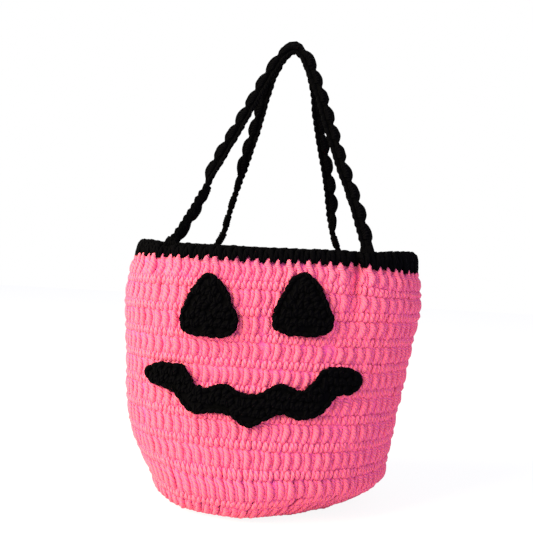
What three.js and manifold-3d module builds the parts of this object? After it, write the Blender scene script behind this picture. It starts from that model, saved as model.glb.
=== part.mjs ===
// A crocheted candy bag: a pink bucket worked in joined rounds, a black rim band,
// a jack-o'-lantern face sewn on the front and two black carrying handles.
// Millimetres, +Z up. The origin is the middle of the base's underside; the face looks towards -Y.

import * as THREE from 'three';
import { mergeVertices } from 'three/addons/utils/BufferGeometryUtils.js';
import Module from 'manifold-3d';

const wasm = await Module();
wasm.setup();

// Fabric and clearances
const FABRIC_THICKNESS = 5;
const CLEARANCE = 0.3;

// Each round swells outwards between these shares of its height
const ROUND_BULGE = 1.3;
const BULGE_START = 0.3;
const BULGE_END = 0.68;

// The base is worked flat as a circle, then turns up in two rounds into the wall
const STARTING_RING_RADIUS = 6;
const STARTING_RING_HEIGHT = 3.2;
const BASE_ROUND_WIDTH = 17;
const BASE_ROUNDS = 3;
const ROUND_HEIGHT = 18.2;
const TOP_ROUND_HEIGHT = 16.2;
const RIM_HEIGHT = 8;

// Half width, half depth and sideways drift of the fabric's middle, at the top edge of
// each round: hand-worked rounds don't climb quite straight
const TURN_EDGES = [[76.5, 73, 1], [89, 83.5, 3]];
const WALL_EDGES = [
  [95.5, 83.3, -0.2], [100.3, 81, -1.5], [103, 77.5, -1.9], [105.2, 74.5, -0.8],
  [107, 74, 0.2], [109, 74.5, 1.2], [111.2, 75, 2.2], [109.8, 73.5, 3.2], [105.6, 69.7, 4.1],
];
const RIM_EDGE = [102.8, 67.5, 4.5];

// The bag is round at its base and drawn out to a rounded oblong at its rim
const BASE_ROUNDNESS = 2;
const RIM_ROUNDNESS = 2.8;

// Face, sewn on the front: each outline is [across, up] from its place on the wall
const PAD_THICKNESS = 4;
const SEWING_YARN_RADIUS = 0.9;
const LEFT_EYE_PLACE = [-35.3, 125];
const RIGHT_EYE_PLACE = [32, 129.4];
const MOUTH_PLACE = [-3, 88];
const EYE_OUTLINE = [
  [0, 0], [-13, 0.4], [-20.2, 5], [-21.6, 13], [-17.8, 25.5], [-14, 35], [-6.5, 44],
  [0.5, 46], [7, 43], [13, 34.5], [16.4, 25], [21.3, 13.5], [20.2, 5.2], [13.5, 0.6],
];
const MOUTH_OUTLINE = [
  [-79.9, 10], [-71.8, 15.9], [-56.7, 17.8], [-48.3, 16.9], [-43, 10.2], [-37.9, 4],
  [-32.6, 2.7], [-24.2, 5.8], [-16.5, 6.4], [-8, 2.3], [0.8, 1], [8.6, 2.8], [15, 6.9],
  [21.4, 8.7], [28.1, 7.1], [35.7, 5], [42.3, 10.5], [48.4, 19], [56, 21.8], [68.1, 21.1],
  [76.3, 15.5], [77, 10.4], [71, 3.5], [59.2, 0.1], [55.1, -6.3], [46.8, -13.2],
  [34.9, -14.8], [21.1, -12.1], [12.2, -16.2], [-0.2, -21.4], [-7.3, -19], [-15.6, -14],
  [-23.5, -13.7], [-40.7, -15.2], [-47.1, -10.8], [-55.3, -2.7], [-64.2, -0.1],
  [-73.8, 1.8],
];
const EYE_STEPS = 26;
const MOUTH_STEPS = 72;
const FACE_REACH = 200;
const FRONT_SHARE = 0.98;
const YARN_SIDES = 5;

// Handles: a cord with a row of shell stitches along its outside. Each route is [across
// from the rim's middle, up the handle's own plane], and ends just below the feet's tops,
// where the cord is cut level.
const HANDLE_THICKNESS = 4.6;
const CORD_WIDTH = 4.4;
const SHELL_PITCH = 16.6;
const SHELL_VALLEY = 2.6;
const SHELL_PEAK = 6.4;
const SHELL_ROUNDNESS = 0.6;
const SHELL_START = 3.5;
const POINTS_PER_SHELL = 6;
const STEPS_PER_SHELL = 3;
const FRONT_ROUTE = [
  [-68.8, -2], [-55.5, 25], [-43.5, 58], [-30, 93], [-19, 120], [-8.5, 144], [-3, 155],
  [5.5, 162], [12.5, 156], [17, 146], [24, 128], [34.5, 96], [46, 62], [55, 38], [67.1, -2],
];
const BACK_ROUTE = [
  [-55, -2], [-48.5, 23], [-40, 51], [-31, 78], [-23, 104], [-16, 130], [-9.5, 149],
  [-3, 160], [5.5, 166.5], [12, 161], [16, 152], [20, 139], [23.5, 114], [28.5, 89],
  [33.5, 63], [37.5, 36], [44.4, -2],
];

// Feet: each handle's end stitches, spread on the rim's top edge and sewn round
const FOOT_HEIGHT = 4;
const FOOT_BASE_WIDTH = 12.5;
const FOOT_TOP_WIDTH = 8;
const FOOT_SHOULDER_WIDTH = 11.3;
const FOOT_SHOULDER_HEIGHT = 1.8;
const FOOT_THICKNESS = 4.2;

const AROUND = 36;
const STEEP = 0.1;

const yarn = (color) => new THREE.MeshStandardMaterial({ color, roughness: 0.95, metalness: 0 });
const PINK = yarn(0xf2708f);
const BLACK = yarn(0x121014);

const bag = new THREE.Group();

function addPiece(group, name, geometry, material) {
  const mesh = new THREE.Mesh(geometry, material);
  mesh.name = name;
  group.add(mesh);
  return mesh;
}

// A closed ring of sections, each a polygon of as many points, joined one to the next,
// with its faces turned outwards
function ringOf(sections) {
  const corners = sections[0].length;
  const positions = sections.flat().flatMap((point) => [point.x, point.y, point.z]);
  const index = [];
  for (let step = 0; step < sections.length; step += 1) {
    const next = (step + 1) % sections.length;
    for (let corner = 0; corner < corners; corner += 1) {
      const after = (corner + 1) % corners;
      const a = step * corners + corner;
      const b = next * corners + corner;
      const c = next * corners + after;
      const d = step * corners + after;
      index.push(a, b, c, a, c, d);
    }
  }
  const points = sections.flat();
  let volume = 0;
  for (let face = 0; face < index.length; face += 3) {
    const [a, b, c] = [points[index[face]], points[index[face + 1]], points[index[face + 2]]];
    volume += a.dot(new THREE.Vector3().crossVectors(b, c));
  }
  if (volume < 0) index.reverse();
  const geometry = new THREE.BufferGeometry();
  geometry.setAttribute('position', new THREE.Float32BufferAttribute(positions, 3));
  geometry.setIndex(index);
  return geometry;
}

// A closed loop of round yarn through the points
function yarnLoop(points, radius) {
  const count = points.length;
  const sections = points.map((point, step) => {
    const ahead = points[(step + 1) % count];
    const behind = points[(step + count - 1) % count];
    const along = new THREE.Vector3().subVectors(ahead, behind).normalize();
    const out = new THREE.Vector3(0, 0, 1).cross(along);
    if (out.lengthSq() < STEEP ** 2) out.set(0, 1, 0).cross(along);
    out.normalize();
    const up = new THREE.Vector3().crossVectors(along, out);
    return Array.from({ length: YARN_SIDES }, (unused, side) => {
      const turn = (side / YARN_SIDES) * 2 * Math.PI;
      return point.clone()
        .addScaledVector(out, radius * Math.cos(turn))
        .addScaledVector(up, radius * Math.sin(turn));
    });
  });
  return keptClose(sections);
}

// Turns each section to start at the corner nearest the one before, so the loop doesn't twist
function keptClose(sections) {
  const sides = sections[0].length;
  const turned = [sections[0]];
  for (let step = 1; step < sections.length; step += 1) {
    const start = turned[step - 1][0];
    const distances = sections[step].map((corner) => corner.distanceTo(start));
    const first = distances.indexOf(Math.min(...distances));
    turned.push(sections[step].map((unused, side) => sections[step][(first + side) % sides]));
  }
  return ringOf(turned);
}

function toManifold(geometry) {
  const bare = geometry.clone();
  bare.deleteAttribute('normal');
  bare.deleteAttribute('uv');
  const merged = mergeVertices(bare, 1e-4);
  return new wasm.Manifold(new wasm.Mesh({
    numProp: 3,
    vertProperties: Float32Array.from(merged.attributes.position.array),
    triVerts: Uint32Array.from(merged.index.array),
  }));
}

function toGeometry(solid) {
  const mesh = solid.getMesh();
  const geometry = new THREE.BufferGeometry();
  geometry.setAttribute('position', new THREE.Float32BufferAttribute(mesh.vertProperties, 3));
  geometry.setIndex(Array.from(mesh.triVerts));
  return geometry;
}

// The fabric's middle surface, as edges from the starting ring up to the rim's top.
// Each edge holds its half width, half depth, height, outward normal and drift to the side.
function fabricEdges() {
  const startRadius = STARTING_RING_RADIUS + CLEARANCE;
  const edges = [];
  for (let round = 0; round <= BASE_ROUNDS; round += 1) {
    const radius = startRadius + round * BASE_ROUND_WIDTH;
    edges.push({ wide: radius, deep: radius, aside: 0, up: FABRIC_THICKNESS / 2 });
  }
  const climb = ([wide, deep, aside], length) => {
    const last = edges[edges.length - 1];
    const widened = (wide + deep - last.wide - last.deep) / 2;
    const rise = Math.sqrt(Math.max(length * length - widened * widened, 1));
    edges.push({ wide, deep, aside, up: last.up + rise });
  };
  [...TURN_EDGES, ...WALL_EDGES.slice(0, -1)].forEach((edge) => climb(edge, ROUND_HEIGHT));
  climb(WALL_EDGES[WALL_EDGES.length - 1], TOP_ROUND_HEIGHT);
  climb(RIM_EDGE, RIM_HEIGHT);
  const slopes = edges.slice(1).map((edge, below) => {
    const under = edges[below];
    const outward = (edge.wide + edge.deep - under.wide - under.deep) / 2;
    return new THREE.Vector2(edge.up - under.up, -outward).normalize();
  });
  edges.forEach((edge, k) => {
    const below = slopes[Math.max(k - 1, 0)];
    const above = slopes[Math.min(k, slopes.length - 1)];
    edge.normal = new THREE.Vector2().addVectors(below, above).normalize();
  });
  edges[edges.length - 1].normal.set(1, 0);
  return edges;
}

const EDGES = fabricEdges();
const FIRST_TURN = BASE_ROUNDS;
const FIRST_WALL = FIRST_TURN + TURN_EDGES.length;
const RIM_BAND = FIRST_WALL + WALL_EDGES.length;
const RIM_TOP = EDGES[EDGES.length - 1].up;

function roundnessAt(up) {
  return BASE_ROUNDNESS + (RIM_ROUNDNESS - BASE_ROUNDNESS) * (up / RIM_TOP);
}

// The fabric's size a `share` of the way up round k, `proud` outside its middle
function fabricSize(k, share, proud) {
  const below = EDGES[k];
  const above = EDGES[k + 1];
  const mix = (from, to) => from + (to - from) * share;
  const normalOut = mix(below.normal.x, above.normal.x);
  const normalUp = mix(below.normal.y, above.normal.y);
  return {
    wide: mix(below.wide, above.wide) + proud * normalOut,
    deep: mix(below.deep, above.deep) + proud * normalOut,
    up: mix(below.up, above.up) + proud * normalUp,
    aside: mix(below.aside, above.aside),
  };
}

// A point of the fabric, on its rounded oblong of that size
function fabricPoint(k, share, proud, angle) {
  const { wide, deep, up, aside } = fabricSize(k, share, proud);
  const power = 2 / roundnessAt(up);
  const across = Math.sign(Math.cos(angle)) * Math.abs(Math.cos(angle)) ** power;
  const along = Math.sign(Math.sin(angle)) * Math.abs(Math.sin(angle)) ** power;
  return new THREE.Vector3(aside + wide * across, deep * along, up);
}

const angles = Array.from({ length: AROUND }, (unused, step) => ((step + 0.5) / AROUND) * 2 * Math.PI);

// One round of stitches: a ring that swells outwards between the grooves above and below it
function fabricRound(k, bulge) {
  const half = FABRIC_THICKNESS / 2;
  const below = EDGES[k];
  const above = EDGES[k + 1];
  const spread = (above.wide + above.deep - below.wide - below.deep) / 2;
  const trim = CLEARANCE / 2 / Math.hypot(spread, above.up - below.up);
  const swollen = bulge > 0 ? [[BULGE_START, half + bulge], [BULGE_END, half + bulge]] : [];
  const profile = [
    [trim, half], ...swollen, [1 - trim, half], [1 - trim, -half], [trim, -half],
  ];
  return ringOf(angles.map((angle) => (
    profile.map(([share, proud]) => fabricPoint(k, share, proud, angle))
  )));
}

// The starting ring is pulled tight, so it closes into a small flat button
function addStartingRing() {
  const flat = STARTING_RING_RADIUS - STARTING_RING_HEIGHT / 4;
  const profile = [
    [0, 0], [flat, 0], [STARTING_RING_RADIUS, STARTING_RING_HEIGHT / 2],
    [flat, STARTING_RING_HEIGHT], [0, STARTING_RING_HEIGHT],
  ].map(([radius, up]) => new THREE.Vector2(radius, up));
  const button = new THREE.LatheGeometry(profile, AROUND / 2);
  button.rotateX(Math.PI / 2);
  addPiece(bag, 'starting_ring', button, PINK);
}

function addBase() {
  for (let k = 0; k < FIRST_WALL; k += 1) {
    const swell = k < FIRST_TURN ? 0 : ROUND_BULGE;
    addPiece(bag, `base_round_${k + 1}`, fabricRound(k, swell), PINK);
  }
}

function addWall() {
  for (let k = FIRST_WALL; k < RIM_BAND; k += 1) {
    addPiece(bag, `wall_round_${k - FIRST_WALL + 1}`, fabricRound(k, ROUND_BULGE), PINK);
  }
  addPiece(bag, 'rim_band', fabricRound(RIM_BAND, 0), BLACK);
}

// A thick skin over the wall, from which each sewn-on pad is cut
function skinOverWall() {
  const inside = FABRIC_THICKNESS / 2 + ROUND_BULGE + CLEARANCE;
  const outside = inside + PAD_THICKNESS;
  const rows = EDGES.map((unused, k) => k).slice(FIRST_WALL, RIM_BAND + 1);
  return toManifold(ringOf(angles.map((angle) => [
    ...rows.map((k) => fabricPoint(k, 0, inside, angle)),
    ...[...rows].reverse().map((k) => fabricPoint(k, 0, outside, angle)),
  ])));
}

function smoothOutline(outline, place, steps) {
  const corners = outline.map(([across, up]) => (
    new THREE.Vector3(place[0] + across, place[1] + up, 0)
  ));
  const curve = new THREE.CatmullRomCurve3(corners, true, 'centripetal');
  return curve.getSpacedPoints(steps).slice(0, steps);
}

// The depth of the wall's face, `proud` outside its middle, at a place on the front
function frontOfWall(across, up, proud) {
  let k = EDGES.findIndex((edge) => edge.up > up) - 1;
  k = Math.min(Math.max(k, FIRST_TURN), RIM_BAND);
  const share = (up - EDGES[k].up) / (EDGES[k + 1].up - EDGES[k].up);
  const { wide, deep, aside } = fabricSize(k, share, proud);
  const roundness = roundnessAt(up);
  const reach = Math.min(Math.abs(across - aside) / wide, FRONT_SHARE);
  return -deep * (1 - reach ** roundness) ** (1 / roundness);
}

function addPad(name, outline, place, steps, skin) {
  const edge = smoothOutline(outline, place, steps);
  const shape = new THREE.Shape(edge.map((point) => new THREE.Vector2(point.x, point.y)));
  const cutter = new THREE.ExtrudeGeometry(shape, { depth: FACE_REACH, bevelEnabled: false });
  cutter.rotateX(Math.PI / 2);
  addPiece(bag, name, toGeometry(skin.intersect(toManifold(cutter))), BLACK);

  // The sewing yarn lies round the pad's edge, against the wall
  const beside = SEWING_YARN_RADIUS + CLEARANCE * 1.5;
  const surface = FABRIC_THICKNESS / 2 + ROUND_BULGE + beside;
  const clockwise = THREE.ShapeUtils.isClockWise(edge);
  const run = edge.map((point, step) => {
    const ahead = edge[(step + 1) % steps];
    const behind = edge[(step + steps - 1) % steps];
    const out = new THREE.Vector2(ahead.y - behind.y, behind.x - ahead.x).normalize();
    if (clockwise) out.negate();
    const across = point.x + out.x * beside;
    const up = point.y + out.y * beside;
    const depth = frontOfWall(across, up, surface);
    const lean = (frontOfWall(across + 1, up, surface) - frontOfWall(across - 1, up, surface)) / 2;
    const stepped = beside * (Math.hypot(1, lean) - 1);
    return new THREE.Vector3(across, depth - stepped, up);
  });
  addPiece(bag, `${name}_sewing_yarn`, yarnLoop(run, SEWING_YARN_RADIUS), BLACK);
}

function addFace() {
  const skin = skinOverWall();
  addPad('left_eye', EYE_OUTLINE, LEFT_EYE_PLACE, EYE_STEPS, skin);
  addPad('right_eye', EYE_OUTLINE, RIGHT_EYE_PLACE, EYE_STEPS, skin);
  addPad('mouth', MOUTH_OUTLINE, MOUTH_PLACE, MOUTH_STEPS, skin);
}

// How far from the middle plane the rim's fabric runs, at a place across from its middle
function rimDepth(across) {
  return RIM_EDGE[1] * (1 - (Math.abs(across) / RIM_EDGE[0]) ** RIM_ROUNDNESS) ** (1 / RIM_ROUNDNESS);
}

const RIM_MIDDLE = RIM_EDGE[2];
const FOOT_BOTTOM = RIM_TOP + CLEARANCE;
const HINGE_UP = FOOT_BOTTOM + FOOT_HEIGHT + CLEARANCE;
const SHELL_INNER = CORD_WIDTH / 2 + CLEARANCE;

function handleCurve(route) {
  const points = route.map(([across, up]) => new THREE.Vector3(across, up, 0));
  return new THREE.CatmullRomCurve3(points, false, 'centripetal');
}

// A flat strip beside the handle's curve, between two distances outside it. Both
// distances are functions of the share of the strip's length.
function besideCurve(curve, start, steps, nearer, farther, fartherSteps) {
  const length = curve.getLength();
  const edgePoint = (share, distance) => {
    const place = (start + (length - 2 * start) * share) / length;
    const point = curve.getPointAt(place);
    const along = curve.getTangentAt(place);
    return new THREE.Vector2(point.x - along.y * distance, point.y + along.x * distance);
  };
  const outer = Array.from({ length: fartherSteps + 1 }, (unused, step) => (
    edgePoint(step / fartherSteps, farther(step / fartherSteps))
  ));
  const inner = Array.from({ length: steps + 1 }, (unused, step) => (
    edgePoint(1 - step / steps, nearer)
  ));
  const strip = new THREE.ExtrudeGeometry(new THREE.Shape([...outer, ...inner]), {
    depth: HANDLE_THICKNESS, bevelEnabled: false,
  });
  return strip;
}

function shellCount(curve) {
  return Math.round((curve.getLength() - 2 * SHELL_START) / SHELL_PITCH);
}

// The cord: a flattened strand, cut level where it stands over its feet
function cordGeometry(curve, inward, tilt) {
  const steps = shellCount(curve) * STEPS_PER_SHELL;
  const strand = besideCurve(curve, 0, steps, -CORD_WIDTH / 2, () => CORD_WIDTH / 2, steps);
  strand.translate(0, 0, inward);
  const below = new THREE.BoxGeometry(3 * RIM_EDGE[0], FOOT_HEIGHT * 2, HANDLE_THICKNESS * 6);
  below.translate(0, -FOOT_HEIGHT, 0);
  below.rotateX(-tilt);
  return toGeometry(toManifold(strand).subtract(toManifold(below)));
}

// The shell stitches: a strip whose outer edge swells once for each shell
function shellGeometry(curve, inward) {
  const shells = shellCount(curve);
  const edge = (share) => {
    const swell = Math.abs(Math.sin(share * shells * Math.PI)) ** SHELL_ROUNDNESS;
    return SHELL_INNER + SHELL_VALLEY + (SHELL_PEAK - SHELL_VALLEY) * swell;
  };
  const steps = shells * STEPS_PER_SHELL;
  const strip = besideCurve(
    curve, SHELL_START, steps, SHELL_INNER, edge, shells * POINTS_PER_SHELL,
  );
  strip.translate(0, 0, inward);
  return strip;
}

// The feet stand on the rim and stay with the bag
function addFoot(name, across, depth) {
  const side = [
    [FOOT_BASE_WIDTH, 0], [FOOT_SHOULDER_WIDTH, FOOT_SHOULDER_HEIGHT],
    [FOOT_TOP_WIDTH, FOOT_HEIGHT],
  ];
  const outline = new THREE.Shape([
    ...side.map(([width, up]) => new THREE.Vector2(width / 2, up)),
    ...side.reverse().map(([width, up]) => new THREE.Vector2(-width / 2, up)),
  ]);
  const foot = new THREE.ExtrudeGeometry(outline, { depth: FOOT_THICKNESS, bevelEnabled: false });
  foot.rotateX(Math.PI / 2);
  foot.translate(across, depth + FOOT_THICKNESS / 2, FOOT_BOTTOM);
  addPiece(bag, name, foot, BLACK);

  const beside = SEWING_YARN_RADIUS + CLEARANCE;
  const corners = [[1, 1, 0], [-1, 1, 1], [-1, -1, 2], [1, -1, 3]];
  const loop = corners.flatMap(([right, back, quarter]) => [0, 0.5, 1].map((share) => {
    const turn = (quarter + share) * (Math.PI / 2);
    return new THREE.Vector3(
      across + (right * FOOT_BASE_WIDTH) / 2 + beside * Math.cos(turn),
      depth + (back * FOOT_THICKNESS) / 2 + beside * Math.sin(turn),
      FOOT_BOTTOM + SEWING_YARN_RADIUS,
    );
  }));
  addPiece(bag, `${name}_yarn`, yarnLoop(loop, SEWING_YARN_RADIUS), BLACK);
}

// A handle turns about the outer top edge of its feet, and leans inwards until its top
// meets the other handle's. In its own frame the plane's outer face is at depth 0.
function addHandle(side, route, towards) {
  const curve = handleCurve(route);
  const left = route[0][0];
  const right = route[route.length - 1][0];
  const rimMiddle = (rimDepth(left) + rimDepth(right)) / 2;
  const hingeDepth = rimMiddle + FOOT_THICKNESS / 2;
  const top = Math.max(...route.map((point) => point[1])) + SHELL_INNER + SHELL_PEAK;
  const lean = Math.asin((hingeDepth - CLEARANCE / 2) / Math.hypot(top, HANDLE_THICKNESS))
    - Math.atan(HANDLE_THICKNESS / top);
  const tilt = towards * lean;
  const inward = towards < 0 ? -HANDLE_THICKNESS : 0;
  const handle = new THREE.Group();
  handle.position.set(RIM_MIDDLE, towards * hingeDepth, HINGE_UP);
  handle.rotation.x = Math.PI / 2 + tilt;
  addPiece(handle, `${side}_handle_cord`, cordGeometry(curve, inward, tilt), BLACK);
  addPiece(handle, `${side}_handle_shells`, shellGeometry(curve, inward), BLACK);
  bag.add(handle);
  addFoot(`${side}_handle_left_foot`, RIM_MIDDLE + left, towards * rimMiddle);
  addFoot(`${side}_handle_right_foot`, RIM_MIDDLE + right, towards * rimMiddle);
}

addStartingRing();
addBase();
addWall();
addFace();
addHandle('front', FRONT_ROUTE, -1);
addHandle('back', BACK_ROUTE, 1);

export default bag;
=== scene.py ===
"""A crocheted pumpkin candy bag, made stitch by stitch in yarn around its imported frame."""
import math

import bpy
import numpy as np
from bpy.props import FloatProperty, FloatVectorProperty, IntProperty, PointerProperty
from bpy.types import Operator, Panel, PropertyGroup
from mathutils import Matrix, Vector


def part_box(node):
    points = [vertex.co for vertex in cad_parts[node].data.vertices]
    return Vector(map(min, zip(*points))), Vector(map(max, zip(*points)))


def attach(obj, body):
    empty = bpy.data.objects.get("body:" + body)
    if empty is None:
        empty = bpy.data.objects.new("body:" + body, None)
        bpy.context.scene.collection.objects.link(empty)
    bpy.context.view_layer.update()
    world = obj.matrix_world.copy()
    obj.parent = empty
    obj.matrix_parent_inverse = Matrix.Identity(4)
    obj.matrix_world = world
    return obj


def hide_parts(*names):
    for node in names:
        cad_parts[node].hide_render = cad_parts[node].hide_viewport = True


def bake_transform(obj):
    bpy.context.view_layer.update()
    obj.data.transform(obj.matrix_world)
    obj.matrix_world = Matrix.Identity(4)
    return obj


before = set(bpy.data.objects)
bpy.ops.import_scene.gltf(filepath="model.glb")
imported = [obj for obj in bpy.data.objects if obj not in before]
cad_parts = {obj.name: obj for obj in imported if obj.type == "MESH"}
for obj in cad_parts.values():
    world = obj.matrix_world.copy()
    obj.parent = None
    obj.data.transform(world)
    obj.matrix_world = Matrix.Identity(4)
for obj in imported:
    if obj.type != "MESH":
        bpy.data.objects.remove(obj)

bl_info = {
    "name": "Crocheted candy bag",
    "version": (1, 0, 0),
    "blender": (4, 5, 0),
    "location": "View3D > Sidebar > Candy bag",
    "description": "Models a crocheted candy bag with a sewn-on face and two handles",
    "category": "Add Mesh",
}

# Lengths are millimetres, apart from the stage's and the relief's, which are metres
MM = 0.001
PINK = "pink_yarn"
BLACK = "black_yarn"

# The fabric's middle surface: half width, half depth and sideways drift of each round's top
FABRIC_THICKNESS = 5.0
ROUND_BULGE = 1.3
GAP = 0.3
STARTING_RING_RADIUS = 6.0
BASE_ROUND_WIDTH = 17.0
BASE_ROUNDS = 3
ROUND_HEIGHT = 18.2
TOP_ROUND_HEIGHT = 16.2
RIM_HEIGHT = 8.0
TURN_EDGES = [(76.5, 73, 1), (89, 83.5, 3)]
WALL_EDGES = [
    (95.5, 83.3, -0.2), (100.3, 81, -1.5), (103, 77.5, -1.9), (105.2, 74.5, -0.8),
    (107, 74, 0.2), (109, 74.5, 1.2), (111.2, 75, 2.2), (109.8, 73.5, 3.2), (105.6, 69.7, 4.1),
]
RIM_EDGE = (102.8, 67.5, 4.5)
BASE_ROUNDNESS = 2.0
RIM_ROUNDNESS = 2.8
FRONT_SHARE = 0.985

# Drape of the soft fabric: where the handles pull at its front, and the folds there
PULLED_FROM = 120
FRONT_DEPTHS = (20, -40)
SAG_PLACE = 4
SAG_WIDTH = 38
RIGHT_FOLD_PLACE = 65.5
LEFT_FOLD_PLACE = -71
LEFT_FOLD_SHARE = 0.3
FOLD_WIDTH = 5.0
FOLD_LOST_AT_RIM = 0.6
GATHERED_SHARE = 0.35
GATHERED_WIDTH = 7.5

# Drape of the rim's ends: from where to where each form grows, across or up
RISING_ENDS = (72, 96)
DROOPING_END = (62, 94)
DROOPING_HEIGHTS = (145, 172)

# Drape of the base: from where to where each form grows, in depth, across or up
DRIFTING_HEIGHTS = (2, 22)
LIFTED_SIDE = (15, 80)
LIFTED_SHARE = 0.5
FULL_DEPTHS = (10, -50)
FULL_FROM_HEIGHTS = (0.5, 7)
FULL_TO_HEIGHTS = (18, 46)
FULL_FROM_SIDE = (-88, -45)
FULL_TO_SIDE = (-10, 45)
FULL_SINKING = 0.7
FLOOR_CLEARANCE = 0.02

# Stitches of the rounds; `proud` is how far a place stands out of the fabric's middle
STITCH_WIDTH = 7.1
WALL_STITCHES = 84
ROUND_SLANT = 0.23
# STITCH_PROUD: painted shade fills the stitches' colour below its first level and is gone above
# its second
STITCH_PROUD = (0.2, 4.2)
STITCH_SINKING = 0.5
FLAT_BASE_SWELL = 0.5
TURN_SWELL = 0.8
LEFT_FLATNESS = 0.15
LEFT_SIDE = (0.4, 0.9)
# CORE_PROUD: the same span of painted shade for the core, which shows only between the stitches
CORE_PROUD = (-0.5, 3.5)
BASE_CORE_REACH = 0.5
WALL_CORE_REACH = 1.5
CORE_OVERLAP = 0.06

# The closed start of the base: a loop drawn tight, and the yarn that closes its middle
LOOP_RADIUS = 3.7
LOOP_STRAND_RADIUS = 2.1
LOOP_MIDDLE_RADIUS = 3.0
LOOP_FLATNESS = 0.72
LOOP_HALF_HEIGHT = 1.5
LOOP_HEIGHT = 1.6
# LOOP_PROUD: the starting loop's span of painted shade, over its height
LOOP_PROUD = (9.0, -4.0)

# How hand work differs from stitch to stitch
LOOSE_SHARES = (1.0, 0.6, 0.8)
SWELL_SPREAD = 0.06
SWELL_LIMITS = (0.86, 1.14)
TILT_SPREAD = 0.022
KNEADED_SHARE = 0.6
WANDER_WAVES = 6
WANDER_PITCH = 0.55

# Finish of the yarns: sheen and shine, twisted plies, loose fibres and a mottled colour, with
# painted shade down between the stitches and painted highlights on the plies' crowns
PLY_LENGTH = 2.4
PLIES_ROUND = -4
YARN_ROUGHNESS = 0.95
PINK_FINISH = (0.08, 0.12)
BLACK_FINISH = (0.0, 0.03)
SHEEN_ROUGHNESS = 0.5
# Painted shade: the share of the black's colour left down between the stitches
BLACK_SHADE_SHARE = 0.3
PLY_RELIEF = {"Strength": 0.72, "Distance": 0.0005}
FIBRE_RELIEF = {"Strength": 0.12, "Distance": 0.0003}
FIBRES = {"Scale": 1400.0, "Detail": 3.0, "Roughness": 0.65}
MOTTLE = {"Scale": 330.0, "Detail": 2.0}
# Painted highlight on each ply's crown, and painted shade in its groove
PLY_HIGHLIGHT_LIGHTNESS = 0.5
MOTTLE_LIGHTNESS = 0.4
# The colour ramp: from full painted shade at the first level to the yarn's own colour at the
# second
PAINTED_SHADE_LEVEL = -0.1
PROUD_LEVEL = 1.5

# Stitches of the face's pads
PAD_THICKNESS = 4.0
PAD_CROWN_WIDTH = 4.0
PAD_SHEET_THICKNESS = 1.2
PAD_GRID = (90, 60)
PAD_OUTLINE_STEPS = 160
PAD_STITCH_SIZE = 1.1
PAD_STITCH_WIDTH = 6.4
PAD_ROW_HEIGHT = 5.8
PAD_STITCH_DEPTH = 2.2
PAD_STITCH_RELIEF = 1.6
PAD_MARGIN = 3.6
PAD_LOOSENESS = 0.6
PAD_TURNING = 0.5
PAD_BODY_INSET = 0.9
EDGE_LOOP_LENGTH = 5.8
EDGE_LOOP_INSET = 1.9
EDGE_LOOP_PROUD = 1.6
EDGE_LOOSENESS = 0.2
WHIP_STITCH_STEP = 6.3
WHIP_STITCH_PROUD = 0.4
# SEWING_PROUD: the sewing yarn's span of painted shade, darker where it lies low
SEWING_PROUD = (-1.0, 2.0)
EYE_SEEDS = (40, 41)
MOUTH_SEED = 50

# Face: each place on the wall, and each outline round it, as [across, up]
LEFT_EYE_PLACE = (-34.5, 125.0)
RIGHT_EYE_PLACE = (31.1, 129.4)
MOUTH_PLACE = (-3.0, 88.0)
EYE_OUTLINE = [
    (0, 0.6), (-12.8, 1.4), (-20.1, 5.6), (-21.5, 13), (-17.7, 25.5), (-12.8, 35), (-6, 43.6),
    (-1.5, 45.4), (4.8, 42.4), (12.2, 34), (16.1, 25), (20.7, 13.5), (19.5, 5.8), (12.9, 1.4),
]
MOUTH_OUTLINE = [
    (-79.9, 10), (-71.8, 15.9), (-56.7, 17.8), (-48.3, 16.9), (-43, 10.2), (-37.9, 4),
    (-32.6, 2.7), (-24.2, 5.8), (-16.5, 6.4), (-8, 2.3), (0.8, 1), (8.6, 2.8), (15, 6.9),
    (21.4, 8.7), (28.1, 7.1), (35.7, 5), (42.3, 10.5), (48.4, 19), (56, 21.8), (68.1, 21.1),
    (76.3, 15.5), (77, 10.4), (71, 3.5), (60, 1.6), (55.1, -4.8), (46.8, -12.2),
    (34.9, -14.8), (21.1, -12.1), (12.2, -16.2), (-0.2, -21.4), (-7.3, -19), (-15.6, -14),
    (-23.5, -13.7), (-40.7, -15.2), (-47.1, -10.8), (-55.3, -2.7), (-64.2, -0.1),
    (-73.8, 1.8),
]

# Handles; a route is [across from the rim's middle, up the handle's plane], foot to foot
HANDLE_THICKNESS = 4.6
CORD_WIDTH = 4.4
CORD_CORE_RADIUS = 1.7
CORD_CORE_STEPS = 160
CORD_PITCH = 5.6
SHELL_PEAK = 6.4
SHELL_PITCH = 16.6
SHELL_START = 3.5
# STRAP_PROUD and FOOT_PROUD: spans of painted shade, darker towards the middle of a strap's or
# foot's thickness
STRAP_PROUD = (0.0, 2.4)
FOOT_HEIGHT = 4.0
FOOT_THICKNESS = 4.2
FOOT_PROUD = (0.0, 3.0)
FRONT_FEET = (-68.8, 67.1)
FRONT_ROUTE = [
    (-71.6, -2), (-58.8, 25), (-45, 58), (-30, 93), (-19, 120), (-8.5, 144), (-3, 155),
    (5.5, 162), (12.5, 156), (17, 146), (24, 128), (34, 96), (45.2, 62), (54, 38), (66.4, -2),
]
BACK_FEET = (-58.5, 49)
BACK_ROUTE = [
    (-61, -2), (-53.4, 10), (-49, 25), (-41.2, 51), (-31.6, 78), (-23, 104), (-16, 130),
    (-9.5, 149), (-3, 160), (5.5, 166.5), (12, 161), (16, 152), (20, 139), (23.5, 114),
    (28.5, 89), (34, 63), (38.4, 36), (42.8, 14), (49, -2),
]

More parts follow.
